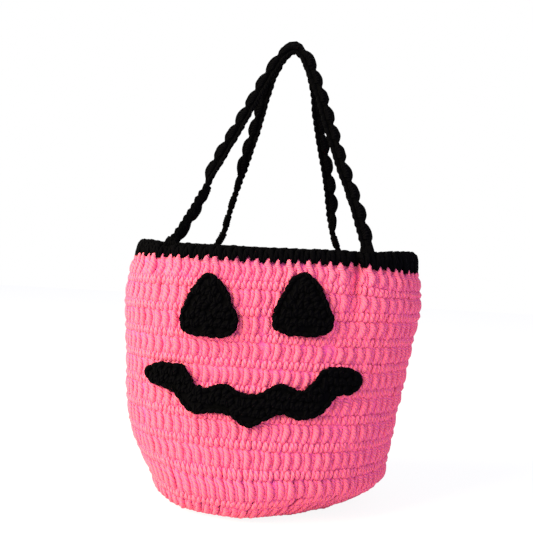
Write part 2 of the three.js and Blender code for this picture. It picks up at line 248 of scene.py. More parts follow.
# How each strap turns over near its feet: [along, or back from its end; degrees]
FRONT_TWIST = [(0, 112), (36, 110), (48, 88), (60, 15), (68, 0)]
BACK_TWIST = [
    (0, -90), (60, -85), (75, -55), (92, 0), (-47, 0), (-33, -50), (-19, -82), (-12, -84),
    (-1, -80),
]
FRONT_SEED = 60
BACK_SEED = 61

# Feet: the end of the route, its outer side, and how far the foot's fan lies beside it
FEET = (("left", 0, -1, -0.9), ("right", -1, 1, 1.6))

# Stage, in metres and degrees
CAMERA_YAW = 5.29
CAMERA_PITCH = -0.35
CAMERA_ROLL = 3.01
CAMERA_BEARING = 4.95
CAMERA_DISTANCE = 0.598
CAMERA_HEIGHT = 0.1735
LAMP_AIM = (0, 0, 0.13)
KEY_PLACE = (-1.3, -0.9, 1.0)
KEY_SIZE = 1.3
KEY_TINT = (1.0, 1.0, 0.49)
FILL_PLACE = (1.3, -1.0, 0.5)
FILL_SIZE = 1.2
FILL_TINT = (1.0, 1.0, 1.25)
SKY_TINT = (1, 1, 1.25, 1)
WHITE = (1, 1, 1, 1)
FLOOR_SIZE = 8
FLOOR_COLOUR = (0.8, 0.8, 0.8, 1)
FLOOR_GLOW = 1.13
FLOOR_GLOW_SHARE = 0.8


class YarnSettings(PropertyGroup):
    """The two yarns and how thick they are spun"""

    pink: FloatVectorProperty(
        name="Pink", description="Colour of the bag's yarn where it stands proud",
        subtype="COLOR", size=3, min=0.0, max=1.0, default=(1.0, 0.155, 0.268),
    )
    # Painted shade: the darker colour the pink yarn is given down between the stitches
    shade_pink: FloatVectorProperty(
        name="Deep pink", description="Colour of the bag's yarn between the stitches",
        subtype="COLOR", size=3, min=0.0, max=1.0, default=(0.70, 0.068, 0.42),
    )
    black: FloatVectorProperty(
        name="Black", description="Colour of the yarn of the rim, the face and the handles",
        subtype="COLOR", size=3, min=0.0, max=1.0, default=(0.0010, 0.0007, 0.0019),
    )
    thickness: FloatProperty(
        name="Thickness", description="Thickness of a strand where it stands free",
        subtype="DISTANCE", unit="LENGTH", min=0.002, max=0.008, default=0.0044,
    )
    unevenness: FloatProperty(
        name="Unevenness", description="How far a stitch may lie from its even place",
        subtype="DISTANCE", unit="LENGTH", min=0.0, max=0.002, default=0.00032,
    )


class BagSettings(PropertyGroup):
    """The rounds of the bag"""

    wall_stitches: IntProperty(
        name="Wall stitches", description="Stitches in each round of the wall",
        min=40, max=140, default=WALL_STITCHES,
    )
    rim_sag: FloatProperty(
        name="Rim sag", description="How far the front of the rim sinks between the handles",
        subtype="DISTANCE", unit="LENGTH", min=0.0, max=0.01, default=0.0005,
    )
    end_droop: FloatProperty(
        name="End droop", description="How far the rim's lower edge sinks at the right end",
        subtype="DISTANCE", unit="LENGTH", min=0.0, max=0.01, default=0.0028,
    )
    base_drift: FloatProperty(
        name="Base drift", description="How far the base hangs to the left of the bag's middle",
        subtype="DISTANCE", unit="LENGTH", min=0.0, max=0.01, default=0.0045,
    )
    end_rise: FloatProperty(
        name="End rise", description="How much taller the rim stands at the bag's two ends",
        subtype="DISTANCE", unit="LENGTH", min=0.0, max=0.01, default=0.0022,
    )
    fold_depth: FloatProperty(
        name="Fold depth", description="Depth of the fold where a handle pulls at the rim",
        subtype="DISTANCE", unit="LENGTH", min=0.0, max=0.012, default=0.0098,
    )
    base_fullness: FloatProperty(
        name="Base fullness", description="How far the base's left front edge sags and swells",
        subtype="DISTANCE", unit="LENGTH", min=0.0, max=0.01, default=0.005,
    )


class StageSettings(PropertyGroup):
    """The camera's and lamps' levels"""

    lens: FloatProperty(
        name="Lens", description="Focal length of the camera",
        subtype="DISTANCE_CAMERA", min=10.0, max=200.0, default=50.92,
    )
    key_power: FloatProperty(
        name="Key lamp", description="Power of the lamp at the upper left",
        subtype="POWER", unit="POWER", min=0.0, max=200.0, default=87.0,
    )
    fill_power: FloatProperty(
        name="Fill lamp", description="Power of the lamp at the right",
        subtype="POWER", unit="POWER", min=0.0, max=100.0, default=5.5,
    )
    sky: FloatProperty(
        name="Sky", description="Strength of the light from all round",
        min=0.0, max=2.0, default=0.46,
    )


# Curves and points


def between(t, start, end, leave, arrive):
    """Values and rates on a smooth curve between two ends with the slopes they are given"""
    value = (
        (2 * t**3 - 3 * t**2 + 1) * start + (t**3 - 2 * t**2 + t) * leave
        + (3 * t**2 - 2 * t**3) * end + (t**3 - t**2) * arrive
    )
    rate = (
        (6 * t**2 - 6 * t) * (start - end) + (3 * t**2 - 4 * t + 1) * leave
        + (3 * t**2 - 2 * t) * arrive
    )
    return value, rate


def smooth_path(points, share):
    """Places and directions on a smooth curve through the points, at shares of its length"""
    points = np.asarray(points, float)
    share = np.asarray(share, float)
    spans = np.linalg.norm(np.diff(points, axis=0), axis=1)
    stations = np.concatenate([[0.0], np.cumsum(spans)])
    slopes = np.gradient(points, stations, axis=0)
    place = np.clip(share, 0, 1) * stations[-1]
    k = np.clip(np.searchsorted(stations, place, side="right") - 1, 0, len(points) - 2)
    span = (stations[k + 1] - stations[k])[:, None]
    t = (place - stations[k])[:, None] / span
    spot, along = between(t, points[k], points[k + 1], slopes[k] * span, slopes[k + 1] * span)
    return spot, along / np.linalg.norm(along, axis=1)[:, None]


def path_length(points):
    """Length of the smooth curve through the points"""
    spot, _ = smooth_path(points, np.linspace(0, 1, 400))
    return float(np.linalg.norm(np.diff(spot, axis=0), axis=1).sum())


def smooth_step(low, high, value):
    """Rises smoothly from 0 at the low value to 1 at the high one"""
    t = np.clip((value - low) / (high - low), 0, 1)
    return t * t * (3 - 2 * t)


def hump(place, middle, width):
    """A smooth hump round one place, 1 at its top"""
    return np.exp(-(((place - middle) / width) ** 2))


def read_points(obj):
    """The points of a mesh, one to a row"""
    points = np.empty(len(obj.data.vertices) * 3)
    obj.data.vertices.foreach_get("co", points)
    return points.reshape(-1, 3)


def write_points(obj, points):
    """Moves the points of a mesh"""
    obj.data.vertices.foreach_set("co", np.asarray(points, float).ravel())
    obj.data.update()


# The fabric's surface


def fabric_edges():
    """Half width, half depth, drift and height of the middle surface at each round's edges"""
    radius = STARTING_RING_RADIUS + GAP
    edges = [
        [radius + k * BASE_ROUND_WIDTH, radius + k * BASE_ROUND_WIDTH, 0.0, FABRIC_THICKNESS / 2]
        for k in range(BASE_ROUNDS + 1)
    ]
    heights = [ROUND_HEIGHT] * (len(TURN_EDGES) + len(WALL_EDGES) - 1)
    heights += [TOP_ROUND_HEIGHT, RIM_HEIGHT]
    for (wide, deep, aside), length in zip([*TURN_EDGES, *WALL_EDGES, RIM_EDGE], heights):
        last = edges[-1]
        widened = (wide + deep - last[0] - last[1]) / 2
        rise = math.sqrt(max(length**2 - widened**2, 1.0))
        edges.append([wide, deep, aside, last[3] + rise])
    return np.array(edges)


EDGES = fabric_edges()
FIRST_WALL = BASE_ROUNDS + len(TURN_EDGES)
RIM = FIRST_WALL + len(WALL_EDGES)
RIM_TOP = EDGES[-1][3]
RIM_BOTTOM = RIM_TOP - RIM_HEIGHT
FOLD_EASING_HEIGHTS = (RIM_TOP - 10, RIM_TOP - 1)
DROOP_ENDING_HEIGHTS = (RIM_BOTTOM + 2, RIM_TOP - 1)
RIM_MIDDLE = RIM_EDGE[2]


def fabric_size(row):
    """Half width, half depth, drift, height and outward direction at places counted in rounds"""
    row = np.clip(np.asarray(row, float), 0, len(EDGES) - 1)
    k = np.minimum(row.astype(int), len(EDGES) - 2)
    t = (row - k)[:, None]
    slopes = np.gradient(EDGES, axis=0)
    slopes[: BASE_ROUNDS + 1, 3] = 0
    size, rate = between(t, EDGES[k], EDGES[k + 1], slopes[k], slopes[k + 1])
    widening, rising = (rate[:, 0] + rate[:, 1]) / 2, rate[:, 3]
    length = np.hypot(widening, rising)
    return size, rising / length, -widening / length


def roundness_at(up):
    """How square the bag is at a height: 2 is an ellipse"""
    return BASE_ROUNDNESS + (RIM_ROUNDNESS - BASE_ROUNDNESS) * np.clip(up / RIM_TOP, 0, 1)


def on_fabric(row, angle, proud):
    """Points of the fabric, `proud` outside its middle"""
    size, out, lift = fabric_size(row)
    wide = size[:, 0] + proud * out
    deep = size[:, 1] + proud * out
    up = size[:, 3] + proud * lift
    roundness = roundness_at(up)
    across, inward = np.cos(angle), np.sin(angle)
    across = np.sign(across) * np.abs(across) ** (2 / roundness)
    inward = np.sign(inward) * np.abs(inward) ** (2 / roundness)
    return np.stack([size[:, 2] + wide * across, deep * inward, up], axis=1)


def angles_round(row, share):
    """Angles at even steps along a round, which starts at the back and runs clockwise"""
    angle = np.linspace(0, 2 * math.pi, 721)
    ring = on_fabric(np.full(angle.shape, float(row)), math.pi / 2 - angle, 0.0)
    steps = np.linalg.norm(np.diff(ring, axis=0), axis=1)
    run = np.concatenate([[0.0], np.cumsum(steps)])
    whole = np.floor(share)
    return math.pi / 2 - np.interp(share - whole, run / run[-1], angle) - whole * 2 * math.pi


def round_length(row):
    """Length once round the fabric's middle, at a place counted in rounds"""
    angle = np.linspace(0, 2 * math.pi, 361)
    ring = on_fabric(np.full(angle.shape, float(row)), angle, 0.0)
    return float(np.linalg.norm(np.diff(ring, axis=0), axis=1).sum())


def folds(across, up, settings):
    """How deep the front is folded in beside the handles, and drawn together round a fold"""
    depth = settings.fold_depth / MM
    right = depth * hump(across, RIGHT_FOLD_PLACE, FOLD_WIDTH)
    right *= 1 - FOLD_LOST_AT_RIM * smooth_step(*FOLD_EASING_HEIGHTS, up)
    left = LEFT_FOLD_SHARE * depth * hump(across, LEFT_FOLD_PLACE, FOLD_WIDTH)
    gathered = GATHERED_SHARE * (across - RIGHT_FOLD_PLACE)
    gathered *= hump(across, RIGHT_FOLD_PLACE, GATHERED_WIDTH)
    return right + left, gathered


def rim_rise(across, up, settings):
    """How far the rim stands up at both ends, less the droop of its lower edge at the right"""
    aside = across - RIM_MIDDLE
    stand = settings.end_rise / MM * smooth_step(*RISING_ENDS, np.abs(aside))
    stand *= smooth_step(RIM_BOTTOM, RIM_TOP, up)
    droop = settings.end_droop / MM * smooth_step(*DROOPING_END, aside)
    droop *= smooth_step(*DROOPING_HEIGHTS, up)
    droop *= 1 - smooth_step(*DROOP_ENDING_HEIGHTS, up)
    return stand - droop


def fullness(across, depth, up, settings):
    """How far the base's left front edge swells"""
    full = settings.base_fullness / MM * smooth_step(*FULL_DEPTHS, depth)
    full *= smooth_step(*FULL_FROM_HEIGHTS, up) * (1 - smooth_step(*FULL_TO_HEIGHTS, up))
    full *= smooth_step(*FULL_FROM_SIDE, across) * (1 - smooth_step(*FULL_TO_SIDE, across))
    return full


def hang(points, settings):
    """How the handles' pull and the bag's weight leave the soft fabric uneven"""
    across, depth, up = points[:, 0], points[:, 1], points[:, 2]
    pulled = smooth_step(PULLED_FROM, RIM_TOP, up) * smooth_step(*FRONT_DEPTHS, depth)
    sag = settings.rim_sag / MM * hump(across, SAG_PLACE, SAG_WIDTH)
    fold, gathered = folds(across, up, settings)
    full = fullness(across, depth, up, settings)
    drift = settings.base_drift / MM * (1 - smooth_step(*DRIFTING_HEIGHTS, up))
    lift = LIFTED_SHARE * drift * smooth_step(*LIFTED_SIDE, across)
    rise = rim_rise(across, up, settings)
    moved = points.copy()
    moved[:, 0] = across - drift - pulled * gathered
    moved[:, 1] = depth + pulled * fold - full
    moved[:, 2] = up - pulled * sag + rise + lift - FULL_SINKING * full
    # The fabric lies flat where it rests on the floor
    moved[:, 2] = np.maximum(moved[:, 2], FLOOR_CLEARANCE)
    return moved


def front_depth(across, up, proud):
    """Depth of the wall's face at places on the front"""
    row = np.interp(up, EDGES[BASE_ROUNDS:, 3], np.arange(BASE_ROUNDS, len(EDGES)))
    size, _, _ = fabric_size(row)
    roundness = roundness_at(up)
    # At its two ends the bag turns away, and its front has no depth to give
    reach = np.minimum(np.abs(across - size[:, 2]) / (size[:, 0] + proud), FRONT_SHARE)
    return -(size[:, 1] + proud) * (1 - reach**roundness) ** (1 / roundness)


# Yarn


def select_only(*objs):
    """Selects these objects alone and makes the first one active"""
    bpy.ops.object.select_all(action="DESELECT")
    for obj in objs:
        obj.select_set(True)
    bpy.context.view_layer.objects.active = objs[0]


def strand(points, radii, sides=8, steps=5):
    """A closed strand of yarn along the points, in millimetres"""
    bpy.ops.object.select_all(action="DESELECT")
    bpy.ops.mesh.primitive_cylinder_add(vertices=sides, radius=1, depth=1, end_fill_type="TRIFAN")
    obj = bpy.context.active_object
    bpy.context.tool_settings.mesh_select_mode = (False, True, False)
    bpy.ops.object.mode_set(mode="EDIT")
    bpy.ops.mesh.select_all(action="DESELECT")
    bpy.ops.object.mode_set(mode="OBJECT")
    blank = read_points(obj)
    for edge in obj.data.edges:
        low, high = (blank[v][2] for v in edge.vertices)
        edge.select = bool(abs(high - low) > 0.5)
    bpy.ops.object.mode_set(mode="EDIT")
    bpy.ops.mesh.subdivide(number_cuts=steps - 1)
    bpy.ops.object.mode_set(mode="OBJECT")

    blank = read_points(obj)
    share = blank[:, 2] + 0.5
    reach = np.hypot(blank[:, 0], blank[:, 1])
    turn = np.arctan2(blank[:, 1], blank[:, 0])
    centre, along = smooth_path(points, share)
    radius = np.interp(share, np.linspace(0, 1, len(radii)), radii) * reach
    beside = np.cross(along, (0.0, 1.0, 0.0))
    beside /= np.maximum(np.linalg.norm(beside, axis=1), 1e-6)[:, None]
    outer = np.cross(beside, along)
    write_points(
        obj,
        centre + (radius * np.cos(turn))[:, None] * beside
        + (radius * np.sin(turn))[:, None] * outer,
    )
    lay_plies(obj, share, path_length(points))
    return obj


def lay_plies(obj, share, length):
    """Runs the strand's UV map once round it and on by its length in plies"""
    mesh = obj.data
    corners = np.empty(len(mesh.loops), int)
    mesh.loops.foreach_get("vertex_index", corners)
    uv = np.empty(len(mesh.loops) * 2)
    mesh.uv_layers.active.data.foreach_get("uv", uv)
    uv = uv.reshape(-1, 2)
    uv[:, 1] = share[corners] * length / PLY_LENGTH
    mesh.uv_layers.active.data.foreach_set("uv", uv.ravel())


def joined(objs, name):
    """Objects joined into the first one, under a name"""
    select_only(*objs)
    if len(objs) > 1:
        bpy.ops.object.join()
    obj = bpy.context.active_object
    obj.name = name
    return obj


def thickened(obj, thickness, offset):
    """Gives a thin sheet its thickness, and makes it the active object"""
    select_only(obj)
    solid = obj.modifiers.new("Thickness", "SOLIDIFY")
    solid.thickness = thickness
    solid.offset = offset
    bpy.ops.object.modifier_apply(modifier=solid.name)


def repeated(unit, count, pitch):
    """A straight row of copies of a stitch"""
    select_only(unit)
    bpy.ops.object.duplicate()
    row = bpy.context.active_object
    array = row.modifiers.new("Stitches", "ARRAY")
    array.use_relative_offset = False
    array.use_constant_offset = True
    array.constant_offset_displace = (pitch, 0, 0)
    array.count = count
    bpy.ops.object.modifier_apply(modifier=array.name)
    return row


def loosened(points, count, amount, seed):
    """Each stitch moved a little from its even place"""
    dice = np.random.default_rng(seed)
    which = np.arange(len(points)) // (len(points) // count)
    shift = dice.normal(0.0, amount, (count, 3)).clip(-2 * amount, 2 * amount)
    swell = dice.normal(1.0, SWELL_SPREAD, count).clip(*SWELL_LIMITS)
    tilt = dice.normal(0.0, TILT_SPREAD, count)
    moved = points.copy()
    moved[:, 0] += tilt[which] * points[:, 2]
    moved[:, 1] *= swell[which]
    moved += shift[which] * LOOSE_SHARES
    return kneaded(moved, KNEADED_SHARE * amount, seed)


def kneaded(points, amount, seed):
    """Points moved by a slow wander in every direction, as uneven tension leaves yarn"""
    dice = np.random.default_rng(seed)
    moved = points.copy()
    for _ in range(WANDER_WAVES):
        wave = dice.normal(0.0, WANDER_PITCH, 3)
        push = dice.normal(0.0, amount / math.sqrt(3), 3)
        moved += push * np.sin(points @ wave + dice.uniform(0, 2 * math.pi))[:, None]
    return moved


def mark_painted_shade(obj, proud, low, high):
    """Stores how far each point stands out of the fabric, for the painted shade that darkens the
    yarn's colour where it lies low
    """
    value = np.clip((proud - low) / (high - low), 0, 1)
    attribute = obj.data.attributes.new("proud", "FLOAT", "POINT")
    attribute.data.foreach_set("value", value.astype(np.float32))


def finish_piece(context, obj, name, body, slot, nodes):
    """Turns the faces outwards, gives the yarn and ties the piece to its CAD body, where it has
    one
    """
    select_only(obj)
    bpy.ops.object.mode_set(mode="EDIT")
    bpy.ops.mesh.select_all(action="SELECT")
    bpy.ops.mesh.normals_make_consistent(inside=False)
    bpy.ops.object.mode_set(mode="OBJECT")
    bpy.ops.object.shade_smooth()
    obj.name = name
    obj.data.name = name
    obj.data.materials.clear()
    obj.data.materials.append(spun_yarn(context, slot))
    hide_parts(*nodes)
    if body:
        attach(obj, body)
    return obj


# Materials


def yarn_material(name, proud_colour, shade_colour, finish):
    """Matt spun yarn: twisted plies, loose fibres, painted shade in a deeper colour down in the
    fabric, and painted highlights on the plies' crowns
    """
    material = bpy.data.materials.new(name)
    material.use_nodes = True
    tree = material.node_tree
    shader = tree.nodes["Principled BSDF"]
    sheen, shine = finish
    shader.inputs["Roughness"].default_value = YARN_ROUGHNESS
    shader.inputs["Specular IOR Level"].default_value = shine
    shader.inputs["Sheen Weight"].default_value = sheen
    shader.inputs["Sheen Roughness"].default_value = SHEEN_ROUGHNESS

    def node(kind, **values):
        made = tree.nodes.new(kind)
        for key, value in values.items():
            if key in made.inputs:
                made.inputs[key].default_value = value
            else:
                setattr(made, key, value)
        return made

    def link(source, output, target, socket):
        tree.links.new(source.outputs[output], target.inputs[socket])

    # Twist: the phase runs round the strand and along it together
    uv = node("ShaderNodeUVMap")
    split = node("ShaderNodeSeparateXYZ")
    link(uv, "UV", split, "Vector")
    round_ply = node("ShaderNodeMath", operation="MULTIPLY_ADD")
    round_ply.inputs[1].default_value = PLIES_ROUND
    link(split, "X", round_ply, 0)
    link(split, "Y", round_ply, 2)
    whole_turn = node("ShaderNodeMath", operation="MULTIPLY")
    whole_turn.inputs[1].default_value = 2 * math.pi
    link(round_ply, "Value", whole_turn, 0)
    twist = node("ShaderNodeMath", operation="SINE")
    link(whole_turn, "Value", twist, 0)

    place = node("ShaderNodeTexCoord")
    fibres = node("ShaderNodeTexNoise", **FIBRES)
    link(place, "Object", fibres, "Vector")
    mottle = node("ShaderNodeTexNoise", **MOTTLE)
    link(place, "Object", mottle, "Vector")

    # Colour: painted shade deep in the gaps, and a painted highlight a little lighter on each
    # ply's crown
    proud = node("ShaderNodeAttribute", attribute_name="proud")
    # Painted highlight and shade: the twist lightens the colour on each ply's crown and darkens it
    # in its groove
    crown = node("ShaderNodeMath", operation="MULTIPLY_ADD")
    crown.inputs[1].default_value = PLY_HIGHLIGHT_LIGHTNESS
    link(twist, "Value", crown, 0)
    link(proud, "Fac", crown, 2)
    flecked = node("ShaderNodeMath", operation="MULTIPLY_ADD")
    flecked.inputs[1].default_value = MOTTLE_LIGHTNESS
    link(mottle, "Fac", flecked, 0)
    link(crown, "Value", flecked, 2)
    ramp = node("ShaderNodeMapRange")
    ramp.inputs["From Min"].default_value = PAINTED_SHADE_LEVEL
    ramp.inputs["From Max"].default_value = PROUD_LEVEL
    link(flecked, "Value", ramp, "Value")
    mix = node("ShaderNodeMix", data_type="RGBA")
    mix.inputs[6].default_value = (*shade_colour, 1)
    mix.inputs[7].default_value = (*proud_colour, 1)
    link(ramp, "Result", mix, 0)
    tree.links.new(mix.outputs[2], shader.inputs["Base Color"])

    # Relief: plies, then fibres over them
    ply_bump = node("ShaderNodeBump", **PLY_RELIEF)
    link(twist, "Value", ply_bump, "Height")
    fibre_bump = node("ShaderNodeBump", **FIBRE_RELIEF)
    link(fibres, "Fac", fibre_bump, "Height")
    link(ply_bump, "Normal", fibre_bump, "Normal")
    link(fibre_bump, "Normal", shader, "Normal")
    return material


def spun_yarn(context, slot):
    """The yarn for one of the frame's material slots, made at its first use"""
    name = f"spun_{slot}"
    found = bpy.data.materials.get(name)
    yarn = context.scene.candy_bag_yarn
    if found:
        return found
    if slot == PINK:
        return yarn_material(name, yarn.pink, yarn.shade_pink, PINK_FINISH)
    # Painted shade for the black yarn between its stitches
    shaded_black = [BLACK_SHADE_SHARE * part for part in yarn.black]
    return yarn_material(name, yarn.black, shaded_black, BLACK_FINISH)


# Rounds of stitches


def tall_stitch(yarn):
    """One tall stitch: a bowed post, a strand that fills beside it, and its looped top"""
    r = yarn.thickness / MM / 2
    post = strand(
        [(0.4, 0.5, -1.4), (-0.5, 1.8, 1.2), (-1.4, 2.3, 4.4), (-1.4, 2.3, 7.4),
         (-0.4, 1.9, 10.0), (0.7, 1.0, 12.6)],
        [0.85 * r, 1.05 * r, 1.08 * r, r, 0.88 * r, 0.62 * r], steps=6,
    )
    return joined([post, *filling(r), *looped_top(r)], "tall_stitch")


def filling(r):
    """The strand that lies beside a stitch's post and fills up to the next one"""
    return [strand(
        [(3.0, 0.4, -1.2), (2.7, 1.5, 1.4), (2.1, 0.9, 5.2), (2.2, 1.2, 8.4), (3.0, 0.8, 12.2)],
        [0.7 * r, 0.95 * r, 0.75 * r, 0.9 * r, 0.6 * r],
    )]


def looped_top(r):
    """The two bumps of a stitch's top, and the loop that lies behind them"""
    return [
        strand(
            [(1.8, 0.8, 11.6), (1.8, 2.3, 13.4), (1.4, 2.5, 15.6), (0.8, 1.0, 17.8)],
            [0.55 * r, 0.92 * r, 0.92 * r, 0.6 * r], steps=4,
        ),
        strand(
            [(-1.5, 0.8, 11.3), (-1.7, 2.2, 13.2), (-2.2, 2.4, 15.6), (-2.8, 0.9, 17.9)],
            [0.55 * r, 0.88 * r, 0.88 * r, 0.55 * r], steps=4,
        ),
        strand(
            [(3.8, 0.3, 16.6), (0.6, 1.2, 17.6), (-3.2, 0.4, 17.4)],
            [0.5 * r, 0.6 * r, 0.5 * r], sides=5, steps=3,
        ),
    ]


def capped_stitch(yarn):
    """A tall stitch of the top round: its head comes to a point between the rim's"""
    r = yarn.thickness / MM / 2
    post = strand(
        [(0.7, 0.4, -1.6), (-0.6, 1.7, 1.2), (-1.7, 2.3, 4.4), (-1.7, 2.4, 7.4),
         (-0.5, 1.9, 10.6), (0.8, 2.2, 13.2), (0.7, 2.1, 15.8), (-0.1, 1.6, 18.5)],
        [0.8 * r, r, 1.08 * r, r, 0.8 * r, 0.98 * r, 0.95 * r, 0.4 * r], steps=7,
    )
    return joined([post, *filling(r)], "capped_stitch")


def fabric_core(row, inner, outer, stitches):
    """The felted middle of a round, which shows only between its stitches"""
    bpy.ops.object.select_all(action="DESELECT")
    bpy.ops.mesh.primitive_cylinder_add(
        vertices=3 * stitches, radius=1, depth=1, end_fill_type="NOTHING"
    )
    obj = bpy.context.active_object
    # A thin ring, of which each skin is then moved to its own place in the fabric
    thickened(obj, 0.1, -1)
    blank = read_points(obj)
    share = np.arctan2(blank[:, 1], blank[:, 0]) / (2 * math.pi)
    up = blank[:, 2] + 0.5
    outside = np.hypot(blank[:, 0], blank[:, 1]) > 0.95
    height = np.where(up > 0.5, 1 + CORE_OVERLAP, -CORE_OVERLAP)
    proud = np.where(outside, outer, inner)
    write_points(
        obj, on_fabric(row + height, angles_round(row + 0.5, share % 1.0), proud)
    )
    return obj, proud


def round_start(row):
    """Where a round's first stitch lies, in stitches; the rim's lie between the top round's"""
    return ROUND_SLANT * (RIM - 1) + 0.5 if row == RIM else ROUND_SLANT * row


def stitched_round(context, unit, row, name, node, slot, swell=1.0):
    """One round: the stitch repeated along it, outside and inside, over its core"""
    yarn, bag = context.scene.candy_bag_yarn, context.scene.candy_bag
    count = stitches_in(context, row)
    unit_height = RIM_HEIGHT if row == RIM else ROUND_HEIGHT
    parts = []
    for side in (1, -1):
        obj = repeated(unit, count, STITCH_WIDTH)
        points = loosened(read_points(obj), count, yarn.unevenness / MM, 2 * row + max(side, 0))
        share = side * (points[:, 0] / STITCH_WIDTH + round_start(row)) / count
        angle = angles_round(row + 0.5, share)
        lifted = np.where(points[:, 1] > 0, points[:, 1] * swell, points[:, 1])
        # The bag's left side is pulled flatter
        drawn = 1 - LEFT_FLATNESS * smooth_step(*LEFT_SIDE, -np.cos(angle))
        proud = side * (np.where(lifted > 0, drawn * lifted, lifted) - STITCH_SINKING)
        height = row + points[:, 2] / unit_height
        write_points(obj, on_fabric(height, angle, proud))
        # Painted shade on the stitches, darker where they lie low in the fabric
        mark_painted_shade(obj, points[:, 1], *STITCH_PROUD)
        parts.append(obj)
    reach = BASE_CORE_REACH if row < BASE_ROUNDS else WALL_CORE_REACH
    core, proud = fabric_core(row, -reach, reach, count)
    # Painted shade on the core, darker where it lies deep
    mark_painted_shade(core, proud, *CORE_PROUD)
    obj = joined([parts[0], parts[1], core], name)
    write_points(obj, hang(read_points(obj), bag) * MM)
    return finish_piece(context, obj, name, "bag", slot, [node])


def stitches_in(context, row):
    """How many stitches a round has: in the base, as many as fit round its outer part"""
    if row >= FIRST_WALL:
        return context.scene.candy_bag.wall_stitches
    return round(round_length(row + 0.75) / STITCH_WIDTH)


class CANDYBAG_OT_base(Operator):
    """Crochets the flat base and its turn up into the wall"""

    bl_idname = "candy_bag.base"
    bl_label = "Base"

    def execute(self, context):
        unit = tall_stitch(context.scene.candy_bag_yarn)
        for row in range(FIRST_WALL):
            swell = FLAT_BASE_SWELL if row < BASE_ROUNDS else TURN_SWELL
            number = row + 1
            stitched_round(
                context, unit, row, f"base_stitches_{number}", f"base_round_{number}", PINK, swell
            )
        bpy.data.objects.remove(unit)
        self.starting_ring(context)
        return {"FINISHED"}

    def starting_ring(self, context):
        """The first loop, pulled tight, under a closed middle"""
        bpy.ops.object.select_all(action="DESELECT")
        bpy.ops.mesh.primitive_torus_add(
            major_segments=36, minor_segments=12,
            major_radius=LOOP_RADIUS, minor_radius=LOOP_STRAND_RADIUS,
        )
        ring = bpy.context.active_object
        bpy.ops.object.select_all(action="DESELECT")
        bpy.ops.mesh.primitive_uv_sphere_add(segments=24, ring_count=12, radius=LOOP_MIDDLE_RADIUS)
        middle = bpy.context.active_object
        obj = joined([ring, middle], "starting_loop")
        points = read_points(obj)
        flat = np.clip(points[:, 2] * LOOP_FLATNESS, -LOOP_HALF_HEIGHT, LOOP_HALF_HEIGHT)
        points[:, 2] = flat + LOOP_HEIGHT
        write_points(obj, points * MM)
        # Painted shade on the starting loop, a little darker on its upper side
        mark_painted_shade(obj, points[:, 2], *LOOP_PROUD)
        finish_piece(context, obj, "starting_loop", "bag", PINK, ["starting_ring"])


class CANDYBAG_OT_wall(Operator):
    """Crochets the nine rounds of the wall"""

    bl_idname = "candy_bag.wall"
    bl_label = "Wall"

    def execute(self, context):
        tall = tall_stitch(context.scene.candy_bag_yarn)
        capped = capped_stitch(context.scene.candy_bag_yarn)
        for row in range(FIRST_WALL, RIM):
            number = row - FIRST_WALL + 1
            unit = capped if row == RIM - 1 else tall
            stitched_round(
                context, unit, row, f"wall_stitches_{number}", f"wall_round_{number}", PINK
            )
        bpy.data.objects.remove(tall)
        bpy.data.objects.remove(capped)
        return {"FINISHED"}


def short_stitch(yarn):
    """One short stitch of the rim: legs that meet in a point low down, under the top's chain"""
    r = yarn.thickness / MM / 2
    legs = [
        strand(
            [(side * 2.6, 1.2, 6.6), (side * 2.5, 2.7, 4.8), (side * 2.2, 3.4, 2.6),
             (side * 1.4, 3.5, 0.3), (side * 0.6, 3.2, -1.6)],
            [0.75 * r, 0.95 * r, 0.95 * r, 0.85 * r, 0.6 * r],
        )
        for side in (-1, 1)
    ]
    chain = strand(
        [(-4.0, 0.9, 5.9), (-1.6, 1.9, 6.7), (1.0, 1.7, 7.5), (3.6, 0.3, 7.3)],
        [0.7 * r, 0.9 * r, 0.9 * r, 0.7 * r],
    )
    return joined([*legs, chain], "short_stitch")


class CANDYBAG_OT_rim(Operator):
    """Crochets the black band round the bag's mouth"""

    bl_idname = "candy_bag.rim"
    bl_label = "Rim band"

    def execute(self, context):
        unit = short_stitch(context.scene.candy_bag_yarn)
        stitched_round(context, unit, RIM, "rim_stitches", "rim_band", BLACK)
        bpy.data.objects.remove(unit)
        return {"FINISHED"}


# The face


def closed_outline(outline, place, steps):
    """A smooth closed outline through the points, moved to its place"""
    points = np.array([*outline[-2:], *outline, *outline[:3]], float) + place
    lengths = np.linalg.norm(np.diff(points, axis=0), axis=1)
    run = np.concatenate([[0.0], np.cumsum(lengths)]) / lengths.sum()
    start, end = run[2], run[-3]
    spot, _ = smooth_path(points, np.linspace(start, end, steps, endpoint=False))
    return spot


def nearest_on(points, edge):
    """Each point's nearest place on a closed outline, and how far off it is"""
    run = np.roll(edge, -1, axis=0) - edge
    offset = points[:, None, :] - edge[None, :, :]
    share = np.clip((offset * run).sum(-1) / (run * run).sum(-1), 0, 1)
    gap = offset - share[..., None] * run
    away = np.linalg.norm(gap, axis=-1)
    nearest = (np.arange(len(points)), away.argmin(axis=1))
    return points - gap[nearest], away[nearest]


def distance_inside(points, edge):
    """How far inside a closed outline points lie; negative outside"""
    _, gaps = nearest_on(points, edge)
    after = np.roll(edge, -1, axis=0)
    run = after - edge
    above = (edge[None, :, 1] > points[:, 1:2]) != (after[None, :, 1] > points[:, 1:2])
    rise = np.where(run[:, 1] == 0, 1e-9, run[:, 1])
    crossing = edge[None, :, 0] + (points[:, 1:2] - edge[None, :, 1]) * run[None, :, 0] / rise
    inside = (above & (points[:, 0:1] < crossing)).sum(axis=1) % 2 == 1
    return np.where(inside, gaps, -gaps)


